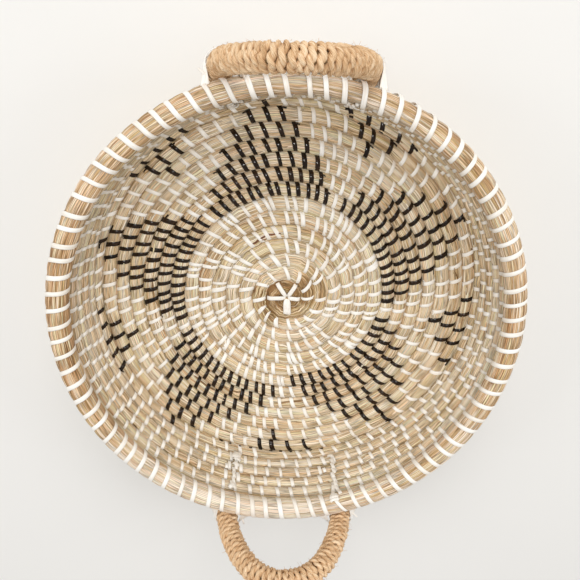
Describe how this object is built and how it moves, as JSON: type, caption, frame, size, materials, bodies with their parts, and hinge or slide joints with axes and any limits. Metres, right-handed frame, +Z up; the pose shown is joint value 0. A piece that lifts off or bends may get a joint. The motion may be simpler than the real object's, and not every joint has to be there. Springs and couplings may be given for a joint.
{
  "type": "serving_tray",
  "caption": "Round serving tray of coiled seagrass with a low upright wall, white and black stitching, and two upright loop handles bound in twine",
  "frame": {"origin": "middle of the underside, on the surface that the tray stands on", "axes": "+Z up, +Y from the middle towards the back handle, +X to the right seen from the front"},
  "size_m": [0.357, 0.3868, 0.1429],
  "materials": {
    "grass": "dry split grass, matt with a faint sheen",
    "rim_grass": "dry split grass, matt with a faint sheen",
    "cane": "peeled cane, satin",
    "twine": "twisted plant fibre, matt",
    "white_strip": "thin flat strip, slightly glossy"
  },
  "bodies": {
    "root": {"floor_coil": "grass", "wall_coil": "grass", "rim_coil": "rim_grass", "back_handle_core": "cane", "back_handle_wrap": "twine", "back_left_lower_lashing": "white_strip", "back_left_upper_lashing": "white_strip", "back_right_lower_lashing": "white_strip", "back_right_upper_lashing": "white_strip", "front_handle_core": "cane", "front_handle_wrap": "twine", "front_left_lower_lashing": "white_strip", "front_left_upper_lashing": "white_strip", "front_right_lower_lashing": "white_strip", "front_right_upper_lashing": "white_strip"}
  },
  "joints": []
}
